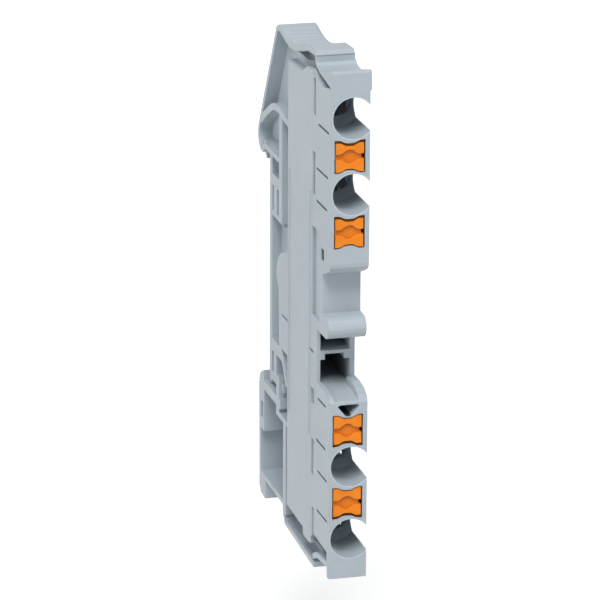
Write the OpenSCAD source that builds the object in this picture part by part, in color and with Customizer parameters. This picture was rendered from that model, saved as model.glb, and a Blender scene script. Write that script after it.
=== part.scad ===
// Four-conductor push-in feed-through terminal block for a 35 mm top-hat rail.
// One moulded housing is closed on its left side and open on its right. It holds a bent current bar,
// four leaf springs that clamp the wires and four pushers that open the springs.
// Frame: x runs along the rail, y away from the user and z up, with the origin on the rail's centre
// line in the plane of its flanges. Side outlines are drawn as [reach, z], reach being -y.

/* [Housing] */
// Thickness of the moulded head between its side planes
head_w = 5.4; // [5:0.1:6]
// How far the raised edges of the lettering panel stand out of the closed side
plate_relief = 0.3; // [0.2:0.05:0.4]
// Height of the pegs that locate the next block on the open side
peg_relief = 0.3; // [0.1:0.05:0.4]
// Wall of the closed side beside the spring chambers
side_wall = 1.45; // [1.2:0.05:1.5]
// Reach of the front face from the rail
reach = 35.5; // [34:0.5:37]
// Reach of the wall behind the current bar
back_reach = 12.2; // [11.5:0.1:12.5]
// Thickness of the wall behind the current bar
back_wall = 1.3; // [1:0.1:1.6]
// Thickness of the rims, braces and webs
rim_t = 0.8; // [0.6:0.05:1]
// Thickness of the front flap's root
flap_t = 1.0; // [0.6:0.05:1.2]
// How far the flap stands out of the open side
flap_out = 0.2; // [0:0.05:0.25]
// Rise of the finger tab above the top wire entry
crown_rise = 10.3; // [9:0.1:12]
// Drop of the bottom rim below the lowest wire entry
toe_drop = 6.3; // [5.8:0.05:7]

/* [Rail] */
// Height of the top-hat rail
rail_h = 35; // [34:0.5:36]
// Thickness of its flanges
flange_t = 1.0; // [0.9:0.1:1.3]
// Play between rail and foot
rail_play = 0.25; // [0.1:0.05:0.4]
// How far the hooks reach behind the flanges
hook_catch = 1.3; // [0.8:0.1:1.6]
// Thickness of the hooks behind the flanges
hook_t = 2.9; // [2.4:0.1:3.2]
// Radius of the release lever's heel
heel_r = 2.0; // [1.8:0.1:2.4]
// How far the heel's rear stands behind the hooks
heel_back = 0.85; // [0:0.05:1]

/* [Wire entries] */
// Pitch between the two wire entries of one side
entry_pitch = 10.7; // [10.3:0.1:11.5]
// Height of the plane that the two sides mirror in
mirror_z = 1.0; // [0:0.1:2]
// Distance of the inner entries from that plane
inner_entry = 19.7; // [19.5:0.1:21]
// Radius of the wire entries
entry_r = 2.9; // [2.7:0.02:2.94]
// Depth of the wire entries
entry_depth = 7.3; // [6.5:0.1:7.6]
// Distance of their axis from the closed side plane
entry_inset = 3.1; // [3:0.05:3.4]
// Radius of the wire guide behind an entry
guide_r = 2.05; // [1.6:0.05:2.1]

/* [Pushers] */
// Width of a pusher's head
pusher_w = 4.0; // [3.8:0.05:4.3]
// Height of a pusher's head at its corners
pusher_h = 4.3; // [4:0.05:4.4]
// Waist cut out of the head's top and bottom edges
waist = 0.42; // [0.3:0.02:0.46]
// Distance of the head from the closed side plane
pusher_inset = 0.6; // [0.5:0.02:0.8]
// How far the head lies behind the front face
pusher_sink = 0.1; // [0.05:0.05:0.3]
// Travel of a pusher
travel = 2.0; // [1.5:0.1:2.1]
// Play of a pusher in its slot, on each side
slot_play = 0.18; // [0.1:0.01:0.2]
// Depth of the screwdriver seat, a band with a round middle, in a pusher's head
seat_cut = 0.4; // [0.2:0.05:0.6]

/* [Metal parts] */
// Thickness of the current bar
bar_t = 1.0; // [0.8:0.05:1.1]
// Width of the current bar
bar_w = 3.2; // [2.8:0.1:3.3]
// Distance of the current bar from the open side plane
bar_inset = 0.65; // [0.5:0.05:0.7]
// Distance of the top of the contact lugs from the floor of the wire entries
lug_setback = 3.7; // [3.4:0.1:5]
// Distance of a contact lug from the wire's axis
lug_gap = 2.1; // [2:0.05:2.3]
// Thickness of the spring leaf
leaf_t = 0.35; // [0.25:0.05:0.4]
// Width of the spring leaf
leaf_w = 2.9; // [2.6:0.1:3]
// Radius of the spring's loop
loop_r = 1.3; // [1.2:0.05:1.4]
// Slope of the clamping leg
leg_angle = 34; // [32:1:38]
// Play between metal parts and moulding
fit_play = 0.1; // [0.05:0.01:0.15]

/* [Marker groove and bridge shaft] */
// Height of the marker groove's upper edge
groove_z = 9.85; // [9:0.05:10]
// Height of the marker groove
groove_h = 7.15; // [6.8:0.05:7.4]
// Depth of the marker groove
groove_cut = 4.1; // [3.8:0.1:4.5]
// Height of the rounded lip under the groove
lip_h = 3.15; // [3:0.05:3.4]
// How far the lip lies behind the front face
lip_inset = 0.8; // [0.6:0.1:1.2]
// Depth of the recess in front of the bridge shafts
valley_cut = 6.8; // [6.4:0.1:7.2]
// Height of that recess
valley_h = 8.15; // [8:0.05:8.3]
// Wall of the bridge shafts on the closed side
shaft_wall = 0.44; // [0.4:0.02:0.6]
// Wall of the bridge shafts on the open side
shaft_wall_open = 0.7; // [0.5:0.02:0.8]
// Thickness of the cross bar between the bridge shafts
cross_t = 0.5; // [0.4:0.05:0.7]

/* [Hidden] */
$fn = 48;
// Overrun of every cut past the face that it opens
over = 0.5;
left_x = -head_w/2;
right_x = head_w/2;
cavity_x = left_x + side_wall;
flange_edge = rail_h/2;
entry_x = left_x + entry_inset;
entry_zs = [mirror_z + inner_entry + entry_pitch, mirror_z + inner_entry,
            mirror_z - inner_entry, mirror_z - inner_entry - entry_pitch];
pusher_offset = entry_pitch/2;
floor_reach = reach - entry_depth;
bar_back = back_reach + back_wall + fit_play;
bar_front = bar_back + bar_t;
bar_x = right_x - bar_inset - bar_w;
chamber_far = pusher_offset + loop_r + 2*fit_play;
chamber_top = floor_reach - guide_r;
lug_reach = floor_reach - lug_setback;
slot_end = chamber_top - 2*fit_play;
// The web that joins the rims lies near the middle of the block's thickness
web_x = -0.12*head_w/2;
web_left = web_x - rim_t/2;
web_right = web_x + rim_t/2;
// The foot between the flanges is narrower than the head on both sides
foot_inset = 0.1*head_w;
foot_left = left_x + foot_inset;
foot_right = right_x - foot_inset;

// Points of an arc about c, from angle a0 to a1 in n steps
function arc(c, r, a0, a1, n) =
    [for (i = [0:n]) c + r*[cos(a0 + (a1 - a0)*i/n), sin(a0 + (a1 - a0)*i/n)]];
function unit(v) = v/norm(v);
// Mitred side direction of a path at point i
function side_dir(p, i) =
    let (a = i > 0 ? unit(p[i] - p[i - 1]) : unit(p[1] - p[0]),
         b = i < len(p) - 1 ? unit(p[i + 1] - p[i]) : a,
         n = unit([-a[1] - b[1], a[0] + b[0]]))
    n/max(0.5, n*[-a[1], a[0]]);
// Outline of a strip of thickness t laid along a path
function ribbon(p, t) =
    concat([for (i = [0:len(p) - 1]) p[i] + side_dir(p, i)*t/2],
           [for (i = [len(p) - 1:-1:0]) p[i] - side_dir(p, i)*t/2]);
// A side outline's point from its shares, above the top entry and below the lowest one
function crown_point(s) = [s[0]*reach, entry_zs[0] + s[1]*crown_rise];
function toe_point(s) = [s[0]*reach, entry_zs[3] - s[1]*toe_drop];
// A point of the shoulder in front of the bridge shafts, from its shares of depth and fall
function shoulder_point(s, top, fall) = [valley_reach + s[0]*valley_cut, top - s[1]*fall];

// Extrudes a side drawing, [reach, z], between two x planes
module across(x_low, x_high) {
    translate([x_high, 0, 0]) rotate([90, 0, -90]) linear_extrude(x_high - x_low) children();
}
// Extrudes a front drawing, [x, z], between two reaches
module along(low, high) {
    translate([0, -low, 0]) rotate([90, 0, 0]) linear_extrude(high - low) children();
}
// A round bar or bore along the wires
module round_along(x, z, r, low, high) {
    translate([x, -low, z]) rotate([90, 0, 0]) cylinder(r = r, h = high - low);
}
// A rectangle between two corners
module between(a, b) {
    translate(a) square(b - a);
}
// Places a clamp's drawing: the entry is at z = 0 and its pusher below it, mirrored in the lower half
module at_clamp(i) {
    translate([0, 0, entry_zs[i]])
        if (i < 2) children();
        else mirror([0, 0, 1]) children();
}

// Front outline of the head: chin, marker groove, lip, bridge recess and shoulder
flap_root_share = 0.4;
chin_drop = 1.5;
chin_shares = [[0, -0.7], [0.03, -0.3], [0.12, 0], [0.56, 0.57], [1, 1]];
lip_r = lip_h/2;
lip_top = groove_z - groove_h;
lip_bottom = lip_top - lip_h;
valley_bottom = lip_bottom - valley_h;
valley_reach = reach - valley_cut;
shoulder_drop = 0.08*valley_h;
rim_rise = 0.45;
rim_shares = [[0, 0], [0.5, 0.1], [0.85, 0.35], [0.96, 0.65], [1, 1]];
leg_bottom = toe_point([1, 0.93])[1];
front_outline = concat(
    [crown_point([1, flap_root_share]) - [flap_t, 0], crown_point([1, flap_root_share])],
    [for (s = chin_shares) [reach - s[0]*groove_cut, groove_z - s[1]*chin_drop]],
    [[reach - groove_cut, lip_top]],
    arc([reach - lip_inset - lip_r, lip_top - lip_r], lip_r, 90, -90, 10),
    [[valley_reach, lip_bottom]],
    [for (s = rim_shares) shoulder_point(s, valley_bottom + rim_rise, rim_rise + shoulder_drop)],
    [[reach, leg_bottom], [reach - flap_t, leg_bottom]]);
// Lower and upper edges of the closed side plane, as shares
low_edge_shares = [[0.966, 0.35], [0.775, 0.31], [0.746, 0.43], [0.372, 0.44]];
high_edge_shares = [[0.345, 0.28], [0.58, 0.32], [0.628, 0.417], [0.693, 0.456], [0.758, 0.476],
                    [0.825, 0.39], [0.887, 0.34]];
head_outline = concat(
    front_outline,
    [for (s = low_edge_shares) toe_point(s)],
    [[back_reach, -flange_edge - hook_t]],
    [for (s = high_edge_shares) crown_point(s)]);

// Body above the bar's upper end, set back from the side plane
brow_inset = 0.69*side_wall;
brow_shares = [[0.36, 0.1], [0.36, 0.43], [0.55, 0.43], [0.62, 0.49], [0.7, 0.52], [0.74, 0.1]];

// Solid flap in front of the roof, over a wedge that stays open to the left
flap_shares = [[1, 0.37], [1, 0.612], [0.989, 0.641], [0.961, 0.619], [0.918, 0.584], [0.851, 0.53],
               [0.82, 0.532], [0.792, 0.55], [0.777, 0.592], [0.76, 0.592], [0.763, 0.544],
               [0.823, 0.485], [0.896, 0.452], [0.975, 0.413], [0.975, 0.37]];
// Rib along the open side of the shoulder, and the channel between it and the closed side's rim
ledge_w = 1.3;
ledge_rise = 1.0;
ledge_shares = [[0, 0], [0.4, -0.03], [0.72, 0.12], [0.94, 0.5], [1, 1]];
channel_inset = 0.65;
channel_shares = [[0, 0], [0.5, 0.2], [0.85, 0.5], [0.96, 0.72], [1, 1]];

module head() {
    ledge_top = valley_bottom + ledge_rise;
    difference() {
        across(left_x, right_x) polygon(head_outline);
        across(left_x + channel_inset, right_x + over)
            polygon(concat([for (s = channel_shares) shoulder_point(s, valley_bottom, shoulder_drop)],
                           [[reach + over, valley_bottom - shoulder_drop], [reach + over, ledge_top],
                            [valley_reach, ledge_top]]));
    }
    across(right_x - ledge_w, right_x)
        polygon(concat([[valley_reach - rim_t, valley_bottom - rim_t]],
                       [for (s = ledge_shares) shoulder_point(s, ledge_top, ledge_rise + shoulder_drop)],
                       [[reach, valley_bottom - shoulder_drop - test_gap/2]]));
    across(left_x, right_x + flap_out) polygon([for (s = flap_shares) crown_point(s)]);
    across(left_x + brow_inset, right_x) polygon([for (s = brow_shares) crown_point(s)]);
}

// The release lever: ribbed finger tab, strut and heel, one strip bent round the corner
tab_shares = [[0.766, 0.563], [0.766, 0.665], [0.755, 0.699], [0.69, 0.691], [0.639, 0.682], [0.603, 0.646],
              [0.569, 0.609], [0.515, 0.568], [0.454, 0.519], [0.397, 0.498], [0.358, 0.5], [0.31, 0.519],
              [0.27, 0.549], [0.242, 0.573], [0.211, 0.597], [0.183, 0.592], [0.162, 0.549]];
heel_c = [heel_r + rim_t/2 - flange_t - rail_play - hook_t - heel_back,
          flange_edge + rail_play + heel_r + rim_t/2 - heel_back];
arm_z = flange_edge + rail_play + rim_t/2;
lever_path = concat([for (s = tab_shares) crown_point(s)],
                    arc(heel_c, heel_r, 155, 285, 9),
                    [[-flange_t, arm_z], [0.235*reach, arm_z]]);
// Brace across the lever's loop
brace_shares = [[-0.09, 0.305], [-0.042, 0.4], [0.014, 0.481], [0.056, 0.538], [0.09, 0.582], [0.121, 0.604],
                [0.177, 0.621], [0.228, 0.608], [0.273, 0.585], [0.341, 0.565]];
brace_h = 13;
brace_path = [for (s = brace_shares) [s[0]*reach, flange_edge + s[1]*brace_h]];

module lever() {
    across(left_x, right_x) {
        polygon(ribbon(lever_path, rim_t));
        polygon(ribbon(brace_path, 1.3*rim_t));
    }
    across(web_left, web_right)
        polygon(concat([crown_point([0.975, 0.39]), crown_point([0.975, 0.43]), crown_point([0.896, 0.47])],
                       lever_path,
                       [[back_reach + rim_t, flange_edge], [back_reach + rim_t, flange_edge + brace_h]],
                       [crown_point([0.372, 0.1]), crown_point([0.9, 0.1]), crown_point([0.966, 0.36])]));
    // Hook behind the upper flange
    across(left_x + rim_t/2, right_x - rim_t/2)
        polygon([[-flange_t - rail_play, flange_edge - hook_catch],
                 [-flange_t - rail_play, flange_edge + rail_play + rim_t],
                 [-flange_t - rail_play - 0.7*hook_t, flange_edge + rail_play + rim_t],
                 [-flange_t - rail_play - 0.6*hook_t, flange_edge - 0.3*hook_catch]]);
}

// Foot between the flanges: rear rim with seats, ribs, a web, and the raised lobe beside them
rib_zs_shares = [[1.035, 1.08], [0.74, 0.84], [0.48, 0.53], [-0.7, -0.59], [-0.96, -0.88]];
seat_rib_shares = [[0.5, 0.76], [-0.9, -0.68]];
foot_depth = 0.231*reach;
lobe_shares = [[1.05, 0.38], [0.885, 0.306], [0.69, 0.269], [0.566, 0.206], [0.52, 0.15], [0.484, 0.074],
               [0.53, -0.025], [0.59, -0.05], [0.607, -0.5], [0.64, -0.55], [1.05, -0.55]];

strut_shares = [[0.62, -0.5], [0.97, -0.83]];

module foot() {
    across(foot_left, foot_right) {
        between([0, -flange_edge + rail_play], [1.7*rim_t, flange_edge - rail_play]);
        for (s = rib_zs_shares) between([0, s[0]*flange_edge], [foot_depth, s[1]*flange_edge]);
        for (s = seat_rib_shares)
            between([0.28*foot_depth, s[0]*flange_edge], [0.28*foot_depth + 2*rim_t, s[1]*flange_edge]);
    }
    across(left_x, right_x) {
        between([foot_depth - 1.3*rim_t, 0.515*flange_edge], [foot_depth + 0.8*rim_t, 1.42*flange_edge]);
        polygon(ribbon([for (s = strut_shares) [s[0]*back_reach, s[1]*flange_edge]], rim_t));
        polygon([for (s = lobe_shares) [s[0]*back_reach, s[1]*flange_edge]]);
        between([0.72*foot_depth, -1.18*flange_edge], [0.91*foot_depth, -0.83*flange_edge]);
    }
    across(web_left, web_right)
        between([rim_t/2, -flange_edge - rail_play - rim_t],
                [back_reach + rim_t, flange_edge + rail_play + rim_t]);
}

// Fixed hook below the lower flange: rear wall with a thick block, bottom wall and tip, open to the left
leg_back = -flange_t - rail_play - hook_t;
leg_top = -flange_edge - rail_play;
leg_low = toe_point([0, 0.49])[1];
tip_low = toe_point([0, 1.04])[1];
module hook_leg() {
    across(left_x, right_x) {
        polygon([[leg_back, leg_top - 0.4*hook_t], [leg_back + rim_t/4, leg_low - rim_t],
                 [leg_back + 1.5*rim_t, leg_low - rim_t], [leg_back + rim_t, leg_top - hook_t/2],
                 [foot_depth, leg_top - hook_t/2], [foot_depth, leg_top], [leg_back + rim_t, leg_top]]);
        between([foot_depth - rim_t, leg_top - hook_t], [back_reach + rim_t, leg_top - hook_t + rim_t]);
        between([leg_back + rim_t/2, leg_low - rim_t], [toe_back + rim_t, leg_low]);
        polygon([[leg_back + rim_t/4, leg_low], [leg_back + rim_t/4, tip_low + 1.2*rim_t],
                 [leg_back + 1.4*rim_t, tip_low], [-flange_t/2, tip_low - rim_t/4], [-flange_t/2, leg_low]]);
        polygon([[-flange_t - rail_play, -flange_edge + hook_catch], [-flange_t - rail_play, leg_top - rim_t],
                 [leg_back, leg_top - rim_t], [leg_back + 0.3*hook_t, -flange_edge + 0.3*hook_catch]]);
    }
    across(left_x + rim_t, right_x - 0.3*head_w)
        between([leg_back + rim_t/2, 1.45*leg_top], [0.28*leg_back, leg_top - rim_t]);
    difference() {
        across(left_x, left_x + rim_t + over)
            between([leg_back + rim_t/2, 1.45*leg_top], [0.28*leg_back, leg_top - rim_t]);
        across(left_x - over, left_x + rim_t)
            between([0.74*leg_back, 1.35*leg_top], [0.44*leg_back, 1.21*leg_top]);
    }
    across(right_x - rim_t, right_x) {
        between([leg_back + rim_t, leg_low - rim_t], [toe_back + rim_t, leg_top - rim_t]);
        between([foot_depth - rim_t, leg_top - hook_t], [toe_back + rim_t, leg_top + rim_t]);
    }
}

// Lower end: rear wall, bottom rim, and the body round the lowest clamp, set back from the side plane
toe_back = 0.279*reach;
toe_wall = 1.6;
toe_low_shares = [[0.34, 0.65], [0.765, 0.65], [0.966, 0.65]];
bottom_shares = [[0.29, 0.8], [0.315, 0.976], [0.769, 1.07]];
toe_rib_shares = [[0.752, 0.9], [0.811, 0.74], [0.966, 0.645]];
toe_inset = 0.69*side_wall;

module toe() {
    across(left_x, right_x) {
        between([toe_back, toe_point([0, 0.8])[1]], [toe_back + toe_wall, -flange_edge - hook_t - rail_play]);
        polygon(ribbon([for (s = bottom_shares) toe_point(s)], rim_t));
        polygon(ribbon([for (s = toe_rib_shares) toe_point(s)], rim_t));
    }
    across(left_x + toe_inset, right_x)
        polygon(concat([for (s = toe_low_shares) toe_point(s)],
                       [toe_point([0.966, 0]), toe_point([0.34, 0])]));
    across(web_left, web_right)
        polygon(concat([for (s = bottom_shares) toe_point(s)],
                       [toe_point([0.966, 0.6]), toe_point([0.966, 0]), [back_reach + rim_t, entry_zs[3]],
                        [back_reach + rim_t, leg_top - rim_t], [toe_back + rim_t/2, leg_top - rim_t]]));
}

// The plate for lettering on the closed side, left bare, with raised edges along its panel
plate_high_shares = [[0.36, 0.27], [0.58, 0.31], [0.628, 0.405], [0.735, 0.45]];
plate_low_shares = [[0.735, 0.62], [0.69, 0.65], [0.62, 0.65], [0.612, 0.47], [0.36, 0.45]];
panel_us_shares = [0.386, 0.7];
panel_zs_shares = [1.063, -0.983];
edge_t = 0.25;
module lettering_plate() {
    across(left_x - plate_relief/2, left_x + over)
        polygon(concat([for (s = plate_high_shares) crown_point(s)],
                       [for (s = plate_low_shares) toe_point(s)]));
    // From the plate forward the closed side falls evenly to the front edge
    intersection() {
        across(left_x - plate_relief, left_x + over) polygon(head_outline);
        translate([0, 0, leg_bottom]) linear_extrude(crown_point([0, flap_root_share])[1] - leg_bottom)
            polygon([[left_x - plate_relief/2, -0.7*reach], [left_x - plate_relief/10, -reach],
                     [left_x + over, -reach], [left_x + over, -0.7*reach]]);
    }
    across(left_x - plate_relief, left_x + over)
        for (s = panel_us_shares)
            between([s*reach, panel_zs_shares[1]*flange_edge],
                    [s*reach + edge_t, panel_zs_shares[0]*flange_edge]);
}

// Shallow marks in the closed side: sloped recesses beside the plate, slits, and a square hole.
// Shares of the reach, then of the flange's height: two of each, but one height for a slit
recess_shares = [[0.7465, 0.7775, 1.7143, 2.0114], [0.738, 0.7746, 1.0629, 1.4114],
                 [0.7352, 0.8394, 0.0571, 0.7943], [0.738, 0.769, -1.2914, -0.9886],
                 [0.7493, 0.7746, -1.8286, -1.5714], [0.7239, 0.7775, -0.6857, -0.56],
                 [0.707, 0.7662, -0.26, -0.2371]];
slit_shares = [[0.2592, 0.3549, -0.2514], [0.8141, 0.9634, 1.6629], [0.7915, 0.9521, 1.2971],
               [0.7915, 0.9437, 1.0314], [0.8282, 0.9408, -0.5943], [0.8056, 0.9408, -0.9543],
               [0.8282, 0.9606, -1.2114], [0.8225, 0.9662, -1.5486]];
mark_depth = 0.3;
slit_w = 0.35;
hole_shares = [0.862, 0.9042, 0.5886, 0.6857];
hole_depth = 1.5;
outside_x = left_x - plate_relief - over;
module side_marks() {
    for (r = recess_shares)
        translate([0, 0, r[2]*flange_edge]) linear_extrude((r[3] - r[2])*flange_edge)
            polygon([[outside_x, -r[0]*reach], [left_x + mark_depth, -r[0]*reach],
                     [left_x + mark_depth/4, -r[1]*reach], [outside_x, -r[1]*reach]]);
    across(outside_x, left_x + mark_depth)
        for (s = slit_shares)
            between([s[0]*reach, s[2]*flange_edge - slit_w/2], [s[1]*reach, s[2]*flange_edge + slit_w/2]);
    across(outside_x, left_x + hole_depth)
        between([hole_shares[0]*reach, hole_shares[2]*flange_edge],
                [hole_shares[1]*reach, hole_shares[3]*flange_edge]);
}

// Pegs on the open side that locate the next block
peg_r = 0.9;
peg_places = [[reach - 2.5*peg_r, groove_z + 2*peg_r],
              [valley_reach - 5*peg_r, (valley_bottom + entry_zs[2] + chamber_far)/2]];
module pegs() {
    for (p = peg_places)
        translate([right_x - over, -p[0], p[1]]) rotate([0, 90, 0])
            cylinder(r = peg_r, h = over + peg_relief);
}

// Outline of a pusher's head, grown by a play, in a clamp's [x, z]
head_shares = [[0, 0], [0.12, 0], [0.2, 0.15], [0.27, 0.5], [0.34, 0.85], [0.42, 1],
               [0.58, 1], [0.66, 0.85], [0.73, 0.5], [0.8, 0.15], [0.88, 0], [1, 0]];
module pusher_outline(play) {
    x0 = left_x + pusher_inset - play;
    w = pusher_w + 2*play;
    h = pusher_h/2 + play;
    upper = [for (s = head_shares) [x0 + s[0]*w, -pusher_offset + h - s[1]*waist]];
    lower = [for (s = head_shares) [x0 + w - s[0]*w, -pusher_offset - h + s[1]*waist]];
    polygon(concat(upper, lower));
}

// Cavity of one clamp: entry, funnel, wire guide, pusher slot, spring chamber and lug slot
guide_len = 0.4;
module clamp_cavity() {
    round_along(entry_x, 0, entry_r, floor_reach, reach + over);
    round_along(entry_x, 0, guide_r, chamber_top - over, floor_reach + over);
    translate([entry_x, -chamber_top - guide_len, 0]) rotate([90, 0, 0])
        cylinder(r1 = guide_r, r2 = entry_r, h = floor_reach - chamber_top - guide_len);
    along(slot_end, reach + over) pusher_outline(slot_play);
    across(cavity_x, skirt_x)
        between([bar_front - over, -chamber_far], [chamber_top, lug_gap]);
    across(cavity_x + fit_play, right_x + over)
        polygon([[bar_front - over, -chamber_far], [chamber_top, -chamber_far], [chamber_top, skirt_low],
                 [over_leg(skirt_low) - skirt_lap, skirt_low], [over_leg(lug_gap) - skirt_lap, lug_gap],
                 [bar_front - over, lug_gap]]);
    across(bar_x - fit_play, right_x + over)
        between([bar_back, lug_gap - over], [lug_reach + fit_play, lug_gap + bar_t + fit_play]);
}

// Bridge shafts: two openings down to the current bar, parted by a cross bar with thick ends
shaft_x = left_x + shaft_wall;
shaft_w = head_w - shaft_wall - shaft_wall_open;
shaft_top = lip_bottom - 0.6*rim_t;
cross_z = lip_bottom - 0.43*valley_h;
cross_end_w = 1.1;
cross_end_h = 1.35;
module shaft_cut() {
    difference() {
        along(bar_front, valley_reach + over)
            between([shaft_x, valley_bottom], [shaft_x + shaft_w, shaft_top]);
        along(bar_front + over, valley_reach + 2*over) {
            between([left_x, cross_z - cross_t/2], [right_x, cross_z + cross_t/2]);
            for (x = [left_x, right_x - 1.4*cross_end_w])
                between([x, cross_z - cross_end_h*0.8], [x + cross_end_w, cross_z + cross_end_h*0.2]);
        }
    }
}

// Channel of the current bar, open to the right
module bar_cut() {
    across(bar_x - fit_play, right_x + over)
        between([bar_back - fit_play, entry_zs[3] - lug_gap - bar_t - fit_play],
                [bar_front + fit_play, entry_zs[0] + lug_gap + bar_t + fit_play]);
}

// Test hole: a rounded triangle between the shoulder and the third pusher
test_gap = 0.32;
test_top = valley_bottom - shoulder_drop - test_gap;
test_h = 1.75;
test_w = 3.0;
test_depth = 8;
test_left = left_x + 0.21*head_w;
test_shares = [[0, 0.14], [0.1, 0], [0.95, 0], [1.03, 0.16], [0.62, 0.94], [0.5, 1], [0.38, 0.93]];
module test_cut() {
    along(reach - test_depth, reach + over)
        polygon([for (s = test_shares) [test_left + s[0]*test_w, test_top - s[1]*test_h]]);
}

// Pockets that lighten the moulding on its open side, beside the marker groove
pocket_wall = 0.9;
module pocket_cut() {
    low = bar_front + pocket_wall;
    high = reach - groove_cut - 2*pocket_wall;
    top = entry_zs[1] - pusher_offset - pusher_h/2 - slot_play - pocket_wall;
    bottom = lip_bottom + pocket_wall;
    across(left_x + pocket_wall, right_x + over) {
        between([low, bottom], [high, (top + bottom - pocket_wall)/2]);
        between([low, (top + bottom + pocket_wall)/2], [high, top]);
    }
}

module housing() color([0.66, 0.7, 0.74]) {
    difference() {
        union() {
            head();
            lever();
            foot();
            hook_leg();
            toe();
            lettering_plate();
            pegs();
        }
        for (i = [0:3]) at_clamp(i) clamp_cavity();
        bar_cut();
        shaft_cut();
        test_cut();
        pocket_cut();
        side_marks();
    }
}

// Current bar: a flat strip with four contact lugs bent up, and two windows for plug-in bridges
module current_bar() color([0.8, 0.78, 0.74]) {
    difference() {
        union() {
            across(bar_x, bar_x + bar_w)
                between([bar_back, entry_zs[3] - lug_gap - bar_t],
                        [bar_front, entry_zs[0] + lug_gap + bar_t]);
            for (i = [0:3]) at_clamp(i)
                across(bar_x, bar_x + bar_w) between([bar_back, lug_gap], [lug_reach, lug_gap + bar_t]);
        }
        for (z = [cross_z + valley_h/4, cross_z - valley_h/4])
            along(bar_back - over, bar_front + over)
                translate([bar_x + bar_w/2, z]) square([0.5*bar_w, 0.2*valley_h], center = true);
    }
}

// Spring of one clamp: clamping leg, loop, support leg and foot on the current bar
loop_c = [chamber_top - travel - loop_r - leaf_t, loop_r + leaf_t/2 + fit_play - chamber_far];
leg_root = loop_c + loop_r*[cos(leg_angle), sin(leg_angle)];
leg_len = (lug_gap - fit_play - leaf_t/2 - leg_root[1])/cos(leg_angle);
foot_r = 0.6;
foot_c = [bar_front + fit_play + leaf_t/2 + foot_r, loop_c[1] - loop_r + foot_r];
spring_path = concat(
    [leg_root + leg_len*[-sin(leg_angle), cos(leg_angle)]],
    arc(loop_c, loop_r, leg_angle, -90, 12),
    arc(foot_c, foot_r, -90, -180, 5),
    [[foot_c[0] - foot_r, lug_gap - fit_play - leaf_t]]);
leaf_x = cavity_x + 2*fit_play;
module clamping_spring(i) color([0.78, 0.79, 0.8]) {
    at_clamp(i) across(leaf_x, leaf_x + leaf_w) polygon(ribbon(spring_path, leaf_t));
}

// Pusher of one clamp: head with a seat for a screwdriver, stem, and a nose that bears on
// the clamping leg and carries the lug that keeps the pusher in its slot
head_front = reach - pusher_sink;
head_back = chamber_top + travel + 2*fit_play;
stem_end = chamber_top + fit_play;
stem_low = -chamber_far + 2*fit_play;
nose_high = -pusher_offset + pusher_h/2 - waist;
nose_h = 0.95;
nose_low = nose_high - nose_h;
lug_h = 0.45;
lug_len = 0.7;
// Upper edge of the screwdriver seat, as shares of the head's width and height
seat_shares = [[-0.1, 0.09], [0.18, 0.09], [0.26, 0.12], [0.33, 0.18], [0.41, 0.22], [0.5, 0.235],
               [0.59, 0.22], [0.67, 0.18], [0.74, 0.12], [0.82, 0.09], [1.1, 0.09]];
notch_w = 0.22;
notch_h = 0.6;
// Reach of the clamping leg's front face at a height w of the clamp's drawing, with play
function over_leg(w) = leg_root[0] - (w - leg_root[1])*tan(leg_angle) + leaf_t/2/cos(leg_angle) + fit_play;
// A skirt of the moulding closes the wire's path to the open side, down past the clamping leg
skirt_x = leaf_x + leaf_w + 2*fit_play;
skirt_low = nose_high + lug_h + fit_play;
skirt_lap = 2.0;
module pusher(i) color([0.95, 0.5, 0.12]) {
    head_left = left_x + pusher_inset;
    at_clamp(i) {
        difference() {
            along(head_back, head_front) pusher_outline(0);
            along(head_front - seat_cut, head_front + over)
                translate([head_left + pusher_w/2, -pusher_offset])
                    polygon([for (side = [-1, 1]) for (s = seat_shares)
                                 side*[(0.5 - s[0])*pusher_w, -s[1]*pusher_h]]);
            along(head_front - 2*seat_cut, head_front + over)
                translate([head_left + pusher_w - notch_w, -pusher_offset - notch_h/2])
                    square([notch_w + over, notch_h]);
        }
        across(leaf_x, leaf_x + leaf_w)
            polygon([[head_back + over, stem_low], [stem_end, stem_low], [stem_end, nose_low],
                     [over_leg(nose_low), nose_low], [over_leg(nose_high), nose_high],
                     [chamber_top - fit_play - lug_len, nose_high],
                     [chamber_top - fit_play - lug_len/2, nose_high + lug_h],
                     [chamber_top - fit_play, nose_high + lug_h], [chamber_top - fit_play, nose_high],
                     [head_back + over, nose_high]]);
    }
}

housing();
current_bar();
clamping_spring(0);  // clamping_spring_1
clamping_spring(1);  // clamping_spring_2
clamping_spring(2);  // clamping_spring_3
clamping_spring(3);  // clamping_spring_4
pusher(0);  // pusher_1
pusher(1);  // pusher_2
pusher(2);  // pusher_3
pusher(3);  // pusher_4
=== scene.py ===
import bpy
import numpy as np
from mathutils import Matrix, Vector


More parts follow.
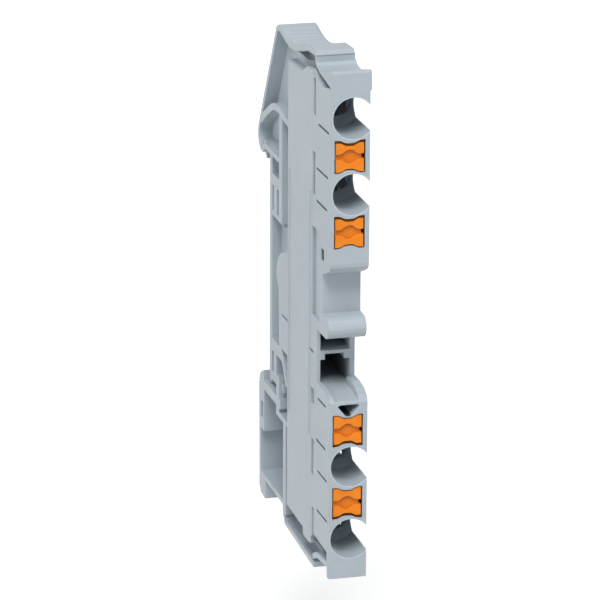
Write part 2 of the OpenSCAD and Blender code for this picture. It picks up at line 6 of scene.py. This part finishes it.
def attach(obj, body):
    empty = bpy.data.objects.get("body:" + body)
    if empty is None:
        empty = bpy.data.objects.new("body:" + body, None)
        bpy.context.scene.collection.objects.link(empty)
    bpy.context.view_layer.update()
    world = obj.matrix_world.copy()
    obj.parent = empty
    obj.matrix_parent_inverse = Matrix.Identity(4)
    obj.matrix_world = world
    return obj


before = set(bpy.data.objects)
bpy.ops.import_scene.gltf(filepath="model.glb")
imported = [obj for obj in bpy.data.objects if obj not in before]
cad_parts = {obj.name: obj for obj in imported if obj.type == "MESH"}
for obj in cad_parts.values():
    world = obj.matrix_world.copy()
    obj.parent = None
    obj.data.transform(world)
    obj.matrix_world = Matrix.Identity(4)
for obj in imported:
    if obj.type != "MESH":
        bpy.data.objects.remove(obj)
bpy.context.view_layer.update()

# Housing: one injection moulding in grey polyamide, shown with its CAD mesh. The colour is softly mottled,
# and the surface has a fine matt grain and slightly rounded edges. Wire entries, slots, shafts and small
# recesses are darkened with painted shade, and the rims of the entries are lightened with a painted
# highlight.
housing_dark, housing_light = (0.385, 0.437, 0.477, 1), (0.413, 0.465, 0.505, 1)
housing_specular = 0.4
edge_radius = 0.00012  # m, of the rounding on every edge
# Measures in mm: across the block, reach towards the user, and height. The upper and the lower half mirror
# in one plane, and entries and pushers follow each other at one pitch. A pair is a middle and a half width,
# or, for a fade, where the shade starts and where it is full.
mirror_height, pitch = 1.0, 10.7
entry_x, entry_radius, entry_fade = 0.4, 2.94, (34.0, 26.0)
entries_middle = 25.05  # mean distance of the two entries of one half from the mirror plane
rim_radius, rim_reach = (2.99, 0.08), 35.4
side_depth, slit_reach, slit_half_height = (-2.5, 0.165), (31.3, 3.3), 0.2
slit_heights = 29.1, 22.7, 18.05, -10.4, -16.7, -21.2, -27.1
groove_reach, groove_height = (26.65, 0.6), (1.6, 33.7)
hole_across, hole_reach, hole_height = (-1.85, 0.75), (31.35, 0.77), (11.15, 0.87)
slot_across, slot_heights, slot_fade = (-0.1, 2.3), ((14.42, 2.33), (25.12, 2.33)), (35.42, 35.2)
shaft_across, shaft_height, shaft_fade = (-0.13, 2.16), (-4.76, 3.87), (28.6, 22.5)
test_across, test_height, test_fade = (-0.07, 1.75), (-10.45, 0.95), (35.4, 34.0)
crease_reach, crease_height = (27.5, 0.3), (38.38, 0.1)
inner_depth, toe_fade, tab_fade, tab_reach_fade = (-1.7, 0.05), (-32.0, -33.0), (34.4, 35.4), (15.0, 20.0)
front_start = 13.0

housing_material = bpy.data.materials.new("housing_plastic")
housing_material.use_nodes = True
nodes, links = housing_material.node_tree.nodes, housing_material.node_tree.links
shader = nodes["Principled BSDF"]
shader.inputs["Roughness"].default_value = 0.48
shader.inputs["IOR"].default_value = 1.5
coords = nodes.new("ShaderNodeTexCoord")


def housing_math(operation, *values):
    """One Math node of the housing's material; a value is a number or another node's output."""
    node = nodes.new("ShaderNodeMath")
    node.operation = operation
    for k, value in enumerate(values):
        if isinstance(value, (int, float)):
            node.inputs[k].default_value = value
        else:
            links.new(value, node.inputs[k])
    return node.outputs["Value"]


def housing_near(value, middle, half):
    """Mask, 1 where a value is within half of the middle."""
    return housing_math("COMPARE", value, middle, half)


def housing_ramp(value, start, end):
    """Smooth step of a value, 0 at start and 1 at end."""
    node = nodes.new("ShaderNodeMapRange")
    node.interpolation_type = "SMOOTHSTEP"
    node.inputs["From Min"].default_value, node.inputs["From Max"].default_value = start, end
    links.new(value, node.inputs["Value"])
    return node.outputs["Result"]


def housing_all(*masks):
    """Product of masks, 1 only where each of them is 1."""
    product = masks[0]
    for mask in masks[1:]:
        product = housing_math("MULTIPLY", product, mask)
    return product


millimetres = nodes.new("ShaderNodeVectorMath")
millimetres.operation = "SCALE"
millimetres.inputs["Scale"].default_value = 1000.0
links.new(coords.outputs["Object"], millimetres.inputs[0])
axes = nodes.new("ShaderNodeSeparateXYZ")
links.new(millimetres.outputs["Vector"], axes.inputs["Vector"])
across, height = axes.outputs["X"], axes.outputs["Z"]
reach = housing_math("MULTIPLY", axes.outputs["Y"], -1.0)
facing = nodes.new("ShaderNodeSeparateXYZ")
links.new(nodes.new("ShaderNodeNewGeometry").outputs["Normal"], facing.inputs["Vector"])
faces_left = housing_math("LESS_THAN", facing.outputs["X"], -0.5)

# Distance from the axis of the nearest wire entry; its bore gets painted shade and its rim on the front face
# a painted highlight
from_middle = housing_math("ABSOLUTE", housing_math("SUBTRACT", height, mirror_height))
to_entry = housing_math("ABSOLUTE", housing_math("SUBTRACT", housing_math("ABSOLUTE", housing_math(
    "SUBTRACT", from_middle, entries_middle)), pitch / 2))
radius = housing_math("SQRT", housing_math("ADD", housing_math("POWER", housing_math(
    "SUBTRACT", across, entry_x), 2.0), housing_math("POWER", to_entry, 2.0)))
in_entry = housing_all(housing_math("LESS_THAN", radius, entry_radius), housing_ramp(reach, *entry_fade))
rim_highlight = housing_all(housing_near(radius, *rim_radius), housing_math("GREATER_THAN", reach, rim_reach))

# Marks sunk in the closed left side: short slits, long grooves beside them and a small square hole, each
# darkened with painted shade
in_side = housing_near(across, *side_depth)
at_slit = housing_near(height, slit_heights[0], slit_half_height)
for slit_height in slit_heights[1:]:
    at_slit = housing_math("ADD", at_slit, housing_near(height, slit_height, slit_half_height))
in_slits = housing_all(in_side, at_slit, housing_near(reach, *slit_reach),
                       housing_math("GREATER_THAN", radius, entry_radius))
in_grooves = housing_all(housing_near(height, *groove_height), housing_near(reach, *groove_reach), in_side)
in_hole = housing_all(housing_near(height, *hole_height), housing_near(reach, *hole_reach),
                      housing_near(across, *hole_across))

# Openings of the front: the gaps round the pushers, the two bridge shafts and the test hole, darkened with
# painted shade
at_slots = housing_math("ADD", *(housing_near(from_middle, *slot_height) for slot_height in slot_heights))
in_slots = housing_all(at_slots, housing_near(across, *slot_across), housing_ramp(reach, *slot_fade))
in_shafts = housing_all(housing_near(height, *shaft_height), housing_near(across, *shaft_across),
                        housing_ramp(reach, *shaft_fade))
in_test_hole = housing_all(housing_near(height, *test_height), housing_near(across, *test_across),
                           housing_ramp(reach, *test_fade))

# Painted shadow in the crease under the edge of the flap's top, and painted shade under the side plate's
# lower edge and under the finger tab
in_crease = housing_all(housing_near(height, *crease_height), housing_near(reach, *crease_reach))
on_inner_side = housing_all(housing_near(across, *inner_depth), faces_left)
in_toe = housing_all(on_inner_side, housing_ramp(height, *toe_fade))
under_tab = housing_all(on_inner_side, housing_ramp(height, *tab_fade), housing_ramp(reach, *tab_reach_fade))

# Each mask paints its share of shade into the colour and takes that share of the shine away, a negative share
# paints a highlight. That holds from just behind the current bar forwards, so that the foot and the back keep
# the plain colour.
in_front = housing_math("GREATER_THAN", reach, front_start)
light = None
for mask, share in ((in_entry, 0.16), (in_slots, 0.85), (in_shafts, 0.5), (in_test_hole, 0.12),
                    (in_slits, 0.38), (in_grooves, 0.16), (in_hole, 0.6), (in_crease, 0.4),
                    (in_toe, 0.72), (under_tab, 0.45), (rim_highlight, -0.2)):
    kept = housing_math("SUBTRACT", 1.0, housing_math("MULTIPLY", housing_all(mask, in_front), share))
    light = kept if light is None else housing_all(light, kept)
mottle = nodes.new("ShaderNodeTexNoise")
mottle.inputs["Scale"].default_value = 160.0
mottle.inputs["Detail"].default_value = 4.0
links.new(coords.outputs["Object"], mottle.inputs["Vector"])
tint = nodes.new("ShaderNodeValToRGB")
tint.color_ramp.elements[0].position, tint.color_ramp.elements[1].position = 0.3, 0.7
tint.color_ramp.elements[0].color, tint.color_ramp.elements[1].color = housing_dark, housing_light
links.new(mottle.outputs["Fac"], tint.inputs["Fac"])
shaded = nodes.new("ShaderNodeVectorMath")
shaded.operation = "SCALE"
links.new(tint.outputs["Color"], shaded.inputs[0])
links.new(light, shaded.inputs["Scale"])
links.new(shaded.outputs["Vector"], shader.inputs["Base Color"])
links.new(housing_math("MULTIPLY", light, housing_specular), shader.inputs["Specular IOR Level"])
edges = nodes.new("ShaderNodeBevel")
edges.samples = 4
edges.inputs["Radius"].default_value = edge_radius
grain = nodes.new("ShaderNodeTexNoise")
grain.inputs["Scale"].default_value = 4200.0
grain.inputs["Detail"].default_value = 3.0
links.new(coords.outputs["Object"], grain.inputs["Vector"])
bump = nodes.new("ShaderNodeBump")
bump.inputs["Strength"].default_value = 0.12
bump.inputs["Distance"].default_value = 0.00003
links.new(grain.outputs["Fac"], bump.inputs["Height"])
links.new(edges.outputs["Normal"], bump.inputs["Normal"])
links.new(bump.outputs["Normal"], shader.inputs["Normal"])
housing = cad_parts["housing"]
housing.data.materials.clear()
housing.data.materials.append(housing_material)

# Grip ribs on the finger tab, moulded with the housing: a thin closed pad with a waved top. At the reach u
# it stands wave_mean + wave_height cos(2 pi (u - first_crest) / wave_pitch) mm over the tab, fading to
# just under the tab's surface at its border, and its underside lies inside the tab.
tab_us = np.array([6.377, 7.525, 8.683, 9.676, 11.071, 12.735, 14.075, 16.05, 18.194])
tab_zs = np.array([37.892, 37.951, 37.691, 37.444, 37.141, 36.95, 36.93, 37.141, 37.641])
ribs_start, ribs_end, ribs_half_width = 7.6, 15.6, 2.68
wave_mean, wave_height, first_crest, wave_pitch = 0.09, 0.085, 8.45, 1.25
side_fade, end_fade, border_depth, pad_depth = 0.5, 0.8, 0.01, 0.3
rows, columns = 97, 15
grid_x, grid_u = np.meshgrid(np.linspace(-ribs_half_width, ribs_half_width, columns),
                             np.linspace(ribs_start, ribs_end, rows))
from_end = (ribs_end - ribs_start) / 2 - np.abs(grid_u - (ribs_start + ribs_end) / 2)
fade = np.clip((ribs_half_width - np.abs(grid_x)) / side_fade, 0, 1) * np.clip(from_end / end_fade, 0, 1)
wave = wave_mean + wave_height * np.cos(2 * np.pi * (grid_u - first_crest) / wave_pitch)
tab_z = np.interp(grid_u, tab_us, tab_zs)
pad_top = np.stack([grid_x, -grid_u, tab_z - border_depth + fade * (wave + border_depth)], axis=-1)
pad_under = np.stack([grid_x, -grid_u, tab_z - pad_depth], axis=-1)
pad_points = np.concatenate([pad_top.reshape(-1, 3), pad_under.reshape(-1, 3)]) * 0.001
under = rows * columns
grid = np.arange(under).reshape(rows, columns)
top_faces = np.stack([grid[:-1, :-1], grid[1:, :-1], grid[1:, 1:], grid[:-1, 1:]], axis=-1).reshape(-1, 4)
border = np.concatenate([grid[:-1, 0], grid[-1, :-1], grid[:0:-1, -1], grid[0, :0:-1]])
after = np.roll(border, -1)
rim_faces = np.stack([border, under + border, under + after, after], axis=-1)
pad_faces = np.concatenate([top_faces, under + top_faces[:, ::-1], rim_faces])
ribs_mesh = bpy.data.meshes.new("tab_ribs")
ribs_mesh.from_pydata(pad_points.tolist(), [], pad_faces.tolist())
ribs_mesh.shade_smooth()
ribs_mesh.materials.append(housing_material)
tab_ribs = bpy.data.objects.new("tab_ribs", ribs_mesh)
bpy.context.scene.collection.objects.link(tab_ribs)
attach(tab_ribs, "block")

# Current bar: a stamped and bent strip of tinned copper, laid into the housing from its open side and shown
# with its CAD mesh. It is dull, with the fine lines of the rolling in its colour and its shine.
bar_dark, bar_light = (0.50, 0.48, 0.45, 1), (0.64, 0.62, 0.57, 1)
bar_line_scales = (900, 900, 60)
bar_material = bpy.data.materials.new("tinned_copper")
bar_material.use_nodes = True
nodes, links = bar_material.node_tree.nodes, bar_material.node_tree.links
shader = nodes["Principled BSDF"]
shader.inputs["Metallic"].default_value = 1.0
coords = nodes.new("ShaderNodeTexCoord")
stretch = nodes.new("ShaderNodeMapping")
stretch.inputs["Scale"].default_value = bar_line_scales
links.new(coords.outputs["Object"], stretch.inputs["Vector"])
lines = nodes.new("ShaderNodeTexNoise")
lines.inputs["Scale"].default_value = 3.0
lines.inputs["Detail"].default_value = 3.0
links.new(stretch.outputs["Vector"], lines.inputs["Vector"])
tint = nodes.new("ShaderNodeValToRGB")
tint.color_ramp.elements[0].position, tint.color_ramp.elements[1].position = 0.3, 0.75
tint.color_ramp.elements[0].color, tint.color_ramp.elements[1].color = bar_dark, bar_light
links.new(lines.outputs["Fac"], tint.inputs["Fac"])
links.new(tint.outputs["Color"], shader.inputs["Base Color"])
rough = nodes.new("ShaderNodeMapRange")
rough.inputs["To Min"].default_value, rough.inputs["To Max"].default_value = 0.28, 0.45
links.new(lines.outputs["Fac"], rough.inputs["Value"])
links.new(rough.outputs["Result"], shader.inputs["Roughness"])
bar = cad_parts["current_bar"]
bar.data.materials.clear()
bar.data.materials.append(bar_material)

# Clamping springs: four bent strips of stainless spring steel, each held between the housing and a lug of
# the current bar, shown with their CAD meshes. The grain of the rolling runs along the leaf.
spring_dark, spring_light = (0.42, 0.42, 0.42, 1), (0.54, 0.54, 0.53, 1)
spring_grain_scales = (1500, 80, 80)
spring_material = bpy.data.materials.new("spring_steel")
spring_material.use_nodes = True
nodes, links = spring_material.node_tree.nodes, spring_material.node_tree.links
shader = nodes["Principled BSDF"]
shader.inputs["Metallic"].default_value = 1.0
coords = nodes.new("ShaderNodeTexCoord")
stretch = nodes.new("ShaderNodeMapping")
stretch.inputs["Scale"].default_value = spring_grain_scales
links.new(coords.outputs["Object"], stretch.inputs["Vector"])
lines = nodes.new("ShaderNodeTexNoise")
lines.inputs["Scale"].default_value = 2.0
lines.inputs["Detail"].default_value = 4.0
links.new(stretch.outputs["Vector"], lines.inputs["Vector"])
tint = nodes.new("ShaderNodeValToRGB")
tint.color_ramp.elements[0].position, tint.color_ramp.elements[1].position = 0.25, 0.75
tint.color_ramp.elements[0].color, tint.color_ramp.elements[1].color = spring_dark, spring_light
links.new(lines.outputs["Fac"], tint.inputs["Fac"])
links.new(tint.outputs["Color"], shader.inputs["Base Color"])
rough = nodes.new("ShaderNodeMapRange")
rough.inputs["To Min"].default_value, rough.inputs["To Max"].default_value = 0.2, 0.34
links.new(lines.outputs["Fac"], rough.inputs["Value"])
links.new(rough.outputs["Result"], shader.inputs["Roughness"])
for i in range(1, 5):
    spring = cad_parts[f"clamping_spring_{i}"]
    spring.data.materials.clear()
    spring.data.materials.append(spring_material)

# Pushers: four orange mouldings that slide in the housing, shown with their CAD meshes. Satin, with a slight
# variation of the colour and a fine grain. Painted shade darkens the screwdriver seat's floor, a ring along
# its round mark and the faces under its upper edge, and a painted shadow of the slot lies on the sides and on
# the edge towards the wire entry.
pusher_dark, pusher_light = (0.80, 0.212, 0.008, 1), (0.86, 0.245, 0.014, 1)
pusher_specular = 0.25
pusher_edge_radius = 0.00005  # m, of the rounding on every edge
# Measures in mm, in pairs as for the housing
pusher_x, pushers_middle = -0.1, 19.7  # mean distance of one half's two pushers from the mirror plane
seat_reach, mark_radius, under_edge_reach = (35.0, 0.03), (0.85, 0.06), 34.99
sides_reach, rim_start, rim_fade = (33.97, 1.0), 35.35, (1.88, 1.98)
dip, dip_fade = 0.42, (1.45, 0.38)  # the edge towards the wire entry dips in its middle

pusher_material = bpy.data.materials.new("pusher_plastic")
pusher_material.use_nodes = True
nodes, links = pusher_material.node_tree.nodes, pusher_material.node_tree.links
shader = nodes["Principled BSDF"]
shader.inputs["Roughness"].default_value = 0.42
coords = nodes.new("ShaderNodeTexCoord")


def pusher_math(operation, *values):
    """One Math node of the pushers' material; a value is a number or another node's output."""
    node = nodes.new("ShaderNodeMath")
    node.operation = operation
    for k, value in enumerate(values):
        if isinstance(value, (int, float)):
            node.inputs[k].default_value = value
        else:
            links.new(value, node.inputs[k])
    return node.outputs["Value"]


def pusher_ramp(value, start, end):
    """Smooth step of a value, 0 at start and 1 at end."""
    node = nodes.new("ShaderNodeMapRange")
    node.interpolation_type = "SMOOTHSTEP"
    node.inputs["From Min"].default_value, node.inputs["From Max"].default_value = start, end
    links.new(value, node.inputs["Value"])
    return node.outputs["Result"]


millimetres = nodes.new("ShaderNodeVectorMath")
millimetres.operation = "SCALE"
millimetres.inputs["Scale"].default_value = 1000.0
links.new(coords.outputs["Object"], millimetres.inputs[0])
axes = nodes.new("ShaderNodeSeparateXYZ")
links.new(millimetres.outputs["Vector"], axes.inputs["Vector"])
reach = pusher_math("MULTIPLY", axes.outputs["Y"], -1.0)
off_axis = pusher_math("SUBTRACT", axes.outputs["X"], pusher_x)
facing = nodes.new("ShaderNodeSeparateXYZ")
links.new(nodes.new("ShaderNodeNewGeometry").outputs["Normal"], facing.inputs["Vector"])

# Height over the middle of the nearest pusher, counted towards its own wire entry
from_middle = pusher_math("ABSOLUTE", pusher_math("SUBTRACT", axes.outputs["Z"], mirror_height))
to_entry = pusher_math("SUBTRACT", pusher_math("MODULO", pusher_math(
    "SUBTRACT", from_middle, pushers_middle - pitch), pitch), pitch / 2)
mark_distance = pusher_math("SQRT", pusher_math("ADD", pusher_math("POWER", pusher_math(
    "ABSOLUTE", to_entry), 2.0), pusher_math("POWER", off_axis, 2.0)))

# Painted shade on the seat's floor, along its round mark and on the faces under its upper edge, and painted
# shadow of the slot on the sides and on the edge towards the wire entry
on_seat = pusher_math("COMPARE", reach, *seat_reach)
on_mark = pusher_math("MULTIPLY", pusher_math("COMPARE", mark_distance, *mark_radius), on_seat)
under_edge = pusher_math("MULTIPLY", pusher_math("LESS_THAN", facing.outputs["Z"], -0.3),
                         pusher_math("GREATER_THAN", reach, under_edge_reach))
on_sides = pusher_math("COMPARE", reach, *sides_reach)
dipped = pusher_math("MULTIPLY", pusher_ramp(pusher_math("ABSOLUTE", off_axis), *dip_fade), dip)
painted_slot_shadow = pusher_math("MULTIPLY", pusher_ramp(pusher_math("ADD", to_entry, dipped), *rim_fade),
                        pusher_math("GREATER_THAN", reach, rim_start))
# Each mask takes its share of the colour and of the shine away as painted shade
light = None
for mask, share in ((on_seat, 0.12), (on_mark, 0.09), (under_edge, 0.6), (on_sides, 0.75), (painted_slot_shadow, 0.85)):
    kept = pusher_math("SUBTRACT", 1.0, pusher_math("MULTIPLY", mask, share))
    light = kept if light is None else pusher_math("MULTIPLY", light, kept)
links.new(pusher_math("MULTIPLY", light, pusher_specular), shader.inputs["Specular IOR Level"])
mottle = nodes.new("ShaderNodeTexNoise")
mottle.inputs["Scale"].default_value = 500.0
mottle.inputs["Detail"].default_value = 3.0
links.new(coords.outputs["Object"], mottle.inputs["Vector"])
tint = nodes.new("ShaderNodeValToRGB")
tint.color_ramp.elements[0].position, tint.color_ramp.elements[1].position = 0.3, 0.7
tint.color_ramp.elements[0].color, tint.color_ramp.elements[1].color = pusher_dark, pusher_light
links.new(mottle.outputs["Fac"], tint.inputs["Fac"])
shaded = nodes.new("ShaderNodeVectorMath")
shaded.operation = "SCALE"
links.new(tint.outputs["Color"], shaded.inputs[0])
links.new(light, shaded.inputs["Scale"])
links.new(shaded.outputs["Vector"], shader.inputs["Base Color"])
edges = nodes.new("ShaderNodeBevel")
edges.samples = 4
edges.inputs["Radius"].default_value = pusher_edge_radius
grain = nodes.new("ShaderNodeTexNoise")
grain.inputs["Scale"].default_value = 5000.0
links.new(coords.outputs["Object"], grain.inputs["Vector"])
bump = nodes.new("ShaderNodeBump")
bump.inputs["Strength"].default_value = 0.1
bump.inputs["Distance"].default_value = 0.00002
links.new(grain.outputs["Fac"], bump.inputs["Height"])
links.new(edges.outputs["Normal"], bump.inputs["Normal"])
links.new(bump.outputs["Normal"], shader.inputs["Normal"])
for i in range(1, 5):
    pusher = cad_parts[f"pusher_{i}"]
    pusher.data.materials.clear()
    pusher.data.materials.append(pusher_material)

# Studio: a pale floor that runs out into the white of the background, and soft lamps from the front, from
# above and from both sides. Lamps as name, place in m, size in m and power in W.
floor_half, floor_height = 3, -0.06
floor_white, floor_glow, floor_far_glow = 0.8, 0.45, 1.0
glow_start, glow_end = 0.2, 0.6
fill_colour, fill_strength = (0.93, 0.97, 1.0, 1), 0.2
lamps = (("top", (-0.15, -0.5, 0.72), 0.4, 6.2), ("side", (-0.8, -0.2, 0.3), 0.5, 2.5),
         ("front", (0.1, -0.9, 0.25), 0.6, 0.5), ("right", (0.85, 0.3, 0.02), 0.6, 3.4))


def seen_rays(nodes, links):
    """Output that is 1 for camera, transmission and glossy rays, and 0 for the light on the object."""
    path = nodes.new("ShaderNodeLightPath")
    seen = path.outputs["Is Camera Ray"]
    for kind in ("Is Transmission Ray", "Is Glossy Ray"):
        either = nodes.new("ShaderNodeMath")
        either.operation = "MAXIMUM"
        links.new(seen, either.inputs[0])
        links.new(path.outputs[kind], either.inputs[1])
        seen = either.outputs["Value"]
    return seen


floor_mesh = bpy.data.meshes.new("floor")
floor_mesh.from_pydata([(x * floor_half, y * floor_half, floor_height)
                        for x, y in ((-1, -1), (1, -1), (1, 1), (-1, 1))], [], [(0, 1, 2, 3)])
floor = bpy.data.objects.new("floor", floor_mesh)
bpy.context.scene.collection.objects.link(floor)
floor_material = bpy.data.materials.new("floor")
floor_material.use_nodes = True
nodes, links = floor_material.node_tree.nodes, floor_material.node_tree.links
shader = nodes["Principled BSDF"]
shader.inputs["Base Color"].default_value = (floor_white, floor_white, floor_white, 1)
shader.inputs["Roughness"].default_value = 0.9
coords = nodes.new("ShaderNodeTexCoord")
away = nodes.new("ShaderNodeVectorMath")
away.operation = "LENGTH"
links.new(coords.outputs["Object"], away.inputs[0])
glow = nodes.new("ShaderNodeMapRange")
glow.interpolation_type = "SMOOTHSTEP"
glow.inputs["From Min"].default_value, glow.inputs["From Max"].default_value = glow_start, glow_end
glow.inputs["To Min"].default_value, glow.inputs["To Max"].default_value = floor_glow, floor_far_glow
links.new(away.outputs["Value"], glow.inputs["Value"])
seen_glow = nodes.new("ShaderNodeMath")
seen_glow.operation = "MULTIPLY"
links.new(seen_rays(nodes, links), seen_glow.inputs[0])
links.new(glow.outputs["Result"], seen_glow.inputs[1])
shader.inputs["Emission Color"].default_value = (1, 1, 1, 1)
links.new(seen_glow.outputs["Value"], shader.inputs["Emission Strength"])
floor_mesh.materials.append(floor_material)

world = bpy.data.worlds.new("studio")
bpy.context.scene.world = world
world.use_nodes = True
nodes, links = world.node_tree.nodes, world.node_tree.links
backdrop = nodes["Background"]
backdrop.inputs["Color"].default_value = (1, 1, 1, 1)
backdrop.inputs["Strength"].default_value = 1.0
fill = nodes.new("ShaderNodeBackground")
fill.inputs["Color"].default_value = fill_colour
fill.inputs["Strength"].default_value = fill_strength
mix = nodes.new("ShaderNodeMixShader")
links.new(seen_rays(nodes, links), mix.inputs["Fac"])
links.new(fill.outputs["Background"], mix.inputs[1])
links.new(backdrop.outputs["Background"], mix.inputs[2])
links.new(mix.outputs["Shader"], nodes["World Output"].inputs["Surface"])

for name, place, size, power in lamps:
    lamp = bpy.data.lights.new(name, "AREA")
    lamp.size = size
    lamp.energy = power
    lamp_object = bpy.data.objects.new(name, lamp)
    lamp_object.location = place
    lamp_object.rotation_mode = "QUATERNION"
    lamp_object.rotation_quaternion = (-Vector(place)).to_track_quat("-Z", "Y")
    bpy.context.scene.collection.objects.link(lamp_object)

# Camera, from the left, in front and above, fitted to the photo's edges: its turn, tilt and roll in degrees,
# the focal length in pixels of a picture 600 wide, and the target and the distance to it in m.
turn, tilt, roll = (float(angle) for angle in np.radians([14.935, 17.501, 0.245]))
focal_pixels, picture_width, sensor_width = 3875.4, 600, 36.0
target, distance = Vector((2.412, 0, -5.374)) * 0.001, 0.56905
ahead = Vector((np.sin(turn) * np.cos(tilt), np.cos(turn) * np.cos(tilt), -np.sin(tilt)))
flat_right = Vector((np.cos(turn), -np.sin(turn), 0))
flat_up = flat_right.cross(ahead)
right = flat_right * float(np.cos(roll)) + flat_up * float(np.sin(roll))
up = flat_up * float(np.cos(roll)) - flat_right * float(np.sin(roll))
camera = bpy.data.cameras.new("camera")
camera.sensor_width = sensor_width
camera.lens = sensor_width * focal_pixels / picture_width
camera.clip_start, camera.clip_end = 0.01, 20.0
camera_object = bpy.data.objects.new("camera", camera)
place = target - ahead * distance
camera_object.matrix_world = Matrix((
    (right.x, up.x, -ahead.x, place.x), (right.y, up.y, -ahead.y, place.y),
    (right.z, up.z, -ahead.z, place.z), (0, 0, 0, 1)))
bpy.context.scene.collection.objects.link(camera_object)
bpy.context.scene.camera = camera_object
bpy.context.scene.view_settings.view_transform = "Standard"
